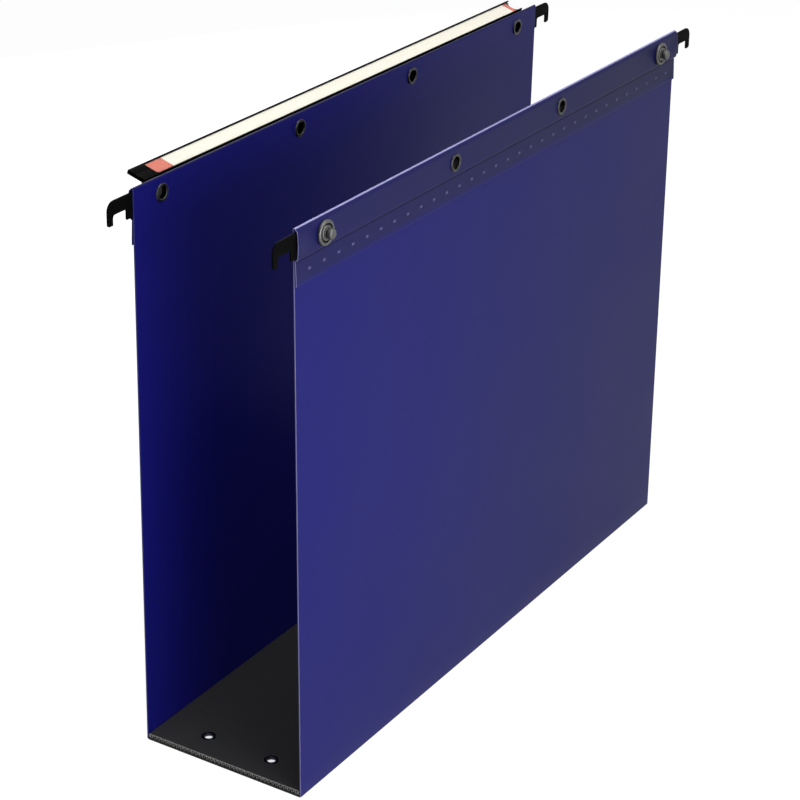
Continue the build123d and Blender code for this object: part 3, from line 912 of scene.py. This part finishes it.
def strip(node, above_seat, thickness):
    """A thin strip with rounded corners on the tilted seat, as long as its CAD node."""
    low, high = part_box(node)
    near, far = rail_side + strip_inset, rail_width - rail_side - strip_inset
    corners = [low.x + 1j * near, high.x + 1j * near, high.x + 1j * far, low.x + 1j * far]
    points, faces = plate([rounded(corners, strip_round)], thickness, card_rim)
    place = rail_point(points[:, 1], rail_plate + above_seat + points[:, 2])
    return swung(np.stack([points[:, 0], place.real, place.imag], -1), wall_lean), faces


label_card, shader, place = new_finish("label_card", roughness=0.72, specular=0.25)
low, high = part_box("index_label")
axes = add_node(label_card, "ShaderNodeSeparateXYZ", {"Vector": place}).outputs
inputs = {0: axes["X"], 1: low.x + band_left}
is_left = add_node(label_card, "ShaderNodeMath", inputs, operation="LESS_THAN").outputs[0]
inputs = {0: axes["X"], 1: high.x - band_right}
is_right = add_node(label_card, "ShaderNodeMath", inputs, operation="GREATER_THAN").outputs[0]
is_band = add_node(label_card, "ShaderNodeMath", {0: is_left, 1: is_right}, operation="ADD").outputs[0]
fibre = noise(label_card, place, fibre_size, detail=4.0)
card = mixed(label_card, fibre, tone(249, 244, 227), tone(254, 250, 236))
band = mixed(label_card, fibre, tone(212, 84, 44), tone(224, 102, 60))
link(label_card, mixed(label_card, is_band, card, band), shader, "Base Color")
relief(label_card, shader, fibre, fibre_depth)
points, faces = strip("index_label", strip_inset, card_thickness)
new_piece("index_card", points, faces, label_card, "index_insert", "label_card", "index_label")

# Index window: a clear plastic strip over the label, cut longer than it for a thumb to pull it out.
# It lies on the card under the rail's lips.
window_thickness = 0.3 * mm
window_gap = 0.01 * mm
window_alpha = 0.08
haze_size = 12 * mm

clear_strip, shader, place = new_finish("clear_strip")
shader.inputs["Base Color"].default_value = (1.0, 1.0, 1.0, 1.0)
shader.inputs["Alpha"].default_value = window_alpha
haze = noise(clear_strip, place, haze_size, detail=3.0)
link(clear_strip, between(clear_strip, haze, 0.03, 0.12), shader, "Roughness")
points, faces = strip("index_window", strip_inset + card_thickness + window_gap, window_thickness)
new_piece("index_clear_strip", points, faces, clear_strip, "index_insert", "clear_strip", "index_window")

# Floor: a plain white studio floor that keeps the folder's soft shadow and reads as white to the camera.
floor_size = 8.0
floor_drop = 0.05 * mm
floor_tone = 0.12
floor_seen = 0.94

corners = np.array([(-1, -1, 0), (1, -1, 0), (1, 1, 0), (-1, 1, 0)]) * floor_size / 2
corners = corners - np.array((0, 0, floor_drop))
mesh = bpy.data.meshes.new("floor")
mesh.from_pydata(corners.tolist(), [], [(0, 1, 2, 3)])
floor = bpy.data.objects.new("floor", mesh)
bpy.context.scene.collection.objects.link(floor)


def is_seen(surface):
    """One for rays by which the camera sees a surface, straight, mirrored or through glass, or else zero."""
    rays = add_node(surface, "ShaderNodeLightPath").outputs
    inputs = {0: rays["Is Camera Ray"], 1: rays["Is Glossy Ray"]}
    seen = add_node(surface, "ShaderNodeMath", inputs, operation="ADD").outputs[0]
    inputs = {0: seen, 1: rays["Is Transmission Ray"]}
    return add_node(surface, "ShaderNodeMath", inputs, operation="ADD", use_clamp=True).outputs[0]


floor_white, shader = new_finish("floor_white", roughness=0.9, specular=0.0)[:2]
shader.inputs["Base Color"].default_value = (floor_tone, floor_tone, floor_tone, 1.0)
shader.inputs["Emission Color"].default_value = (1.0, 1.0, 1.0, 1.0)
link(floor_white, between(floor_white, is_seen(floor_white), 0.0, floor_seen), shader, "Emission Strength")
mesh.materials.append(floor_white)

# Studio light: an even surround that the camera sees as white, a soft lamp in front on the left, a large one
# above, a fill lamp behind, and a weak one in front without shadow that brightens the inside.
surround_light = 0.22
surround_seen = 1.0

world = bpy.data.worlds.new("studio")
bpy.context.scene.world = world
world.use_nodes = True
backdrop = world.node_tree.nodes["Background"]
backdrop.inputs["Color"].default_value = (1.0, 1.0, 1.0, 1.0)
link(world, between(world, is_seen(world), surround_light, surround_seen), backdrop, "Strength")


def lamp(name, place, aim, size, power, spread=pi, shadow=True):
    """A square area lamp at a place, turned to an aim, with its angle of spread, with or without shadow."""
    light = bpy.data.lights.new(name, "AREA")
    light.size = size
    light.energy = power
    light.spread = spread
    light.use_shadow = shadow
    holder = bpy.data.objects.new(name, light)
    back = np.array(place, float) - np.array(aim, float)
    back /= np.linalg.norm(back)
    side = np.cross((0, 0, 1), back)
    side /= np.linalg.norm(side)
    axes = np.stack([side, np.cross(back, side), back], 1)
    holder.matrix_world = Matrix.Translation(place) @ Matrix(axes.tolist()).to_4x4()
    holder.visible_camera = False
    bpy.context.scene.collection.objects.link(holder)


key_spread = radians(88)
lamp("key", (-0.28, -0.45, 0.2), aim=(-0.24, -0.04, 0.14), size=0.35, power=0.76, spread=key_spread)
lamp("top", (0, -0.27, 1.1), aim=(0, 0, 0.1), size=0.7, power=6.5)
lamp("fill", (0.45, 0.75, 0.3), aim=(0, 0.04, 0.13), size=0.6, power=9.0)
lamp("front", (0.25, -1.2, 0.35), aim=(0, 0, 0.12), size=0.6, power=3.0, shadow=False)

# Camera: a long lens from the folder's front left, looking down on it.
azimuth, elevation, roll = radians(-58.068), radians(25.137), radians(0.92)
camera_place = (-0.8389, -0.5096, 0.5713)
focal_pixels = 2373.0
frame_pixels = 800
sensor_width = 36.0
nearest = 0.05

camera = bpy.data.objects.new("camera", bpy.data.cameras.new("camera"))
camera.data.sensor_width = sensor_width
camera.data.lens = sensor_width * focal_pixels / frame_pixels
camera.data.clip_start = nearest
back = np.array((sin(azimuth) * cos(elevation), -cos(azimuth) * cos(elevation), sin(elevation)))
right = np.array((cos(azimuth), sin(azimuth), 0))
up = np.cross(back, right)
tilted = [cos(roll) * right + sin(roll) * up, cos(roll) * up - sin(roll) * right, back]
camera.matrix_world = Matrix.Translation(camera_place) @ Matrix(np.stack(tilted, 1).tolist()).to_4x4()
bpy.context.scene.collection.objects.link(camera)
bpy.context.scene.camera = camera
bpy.context.scene.view_settings.view_transform = "Standard"
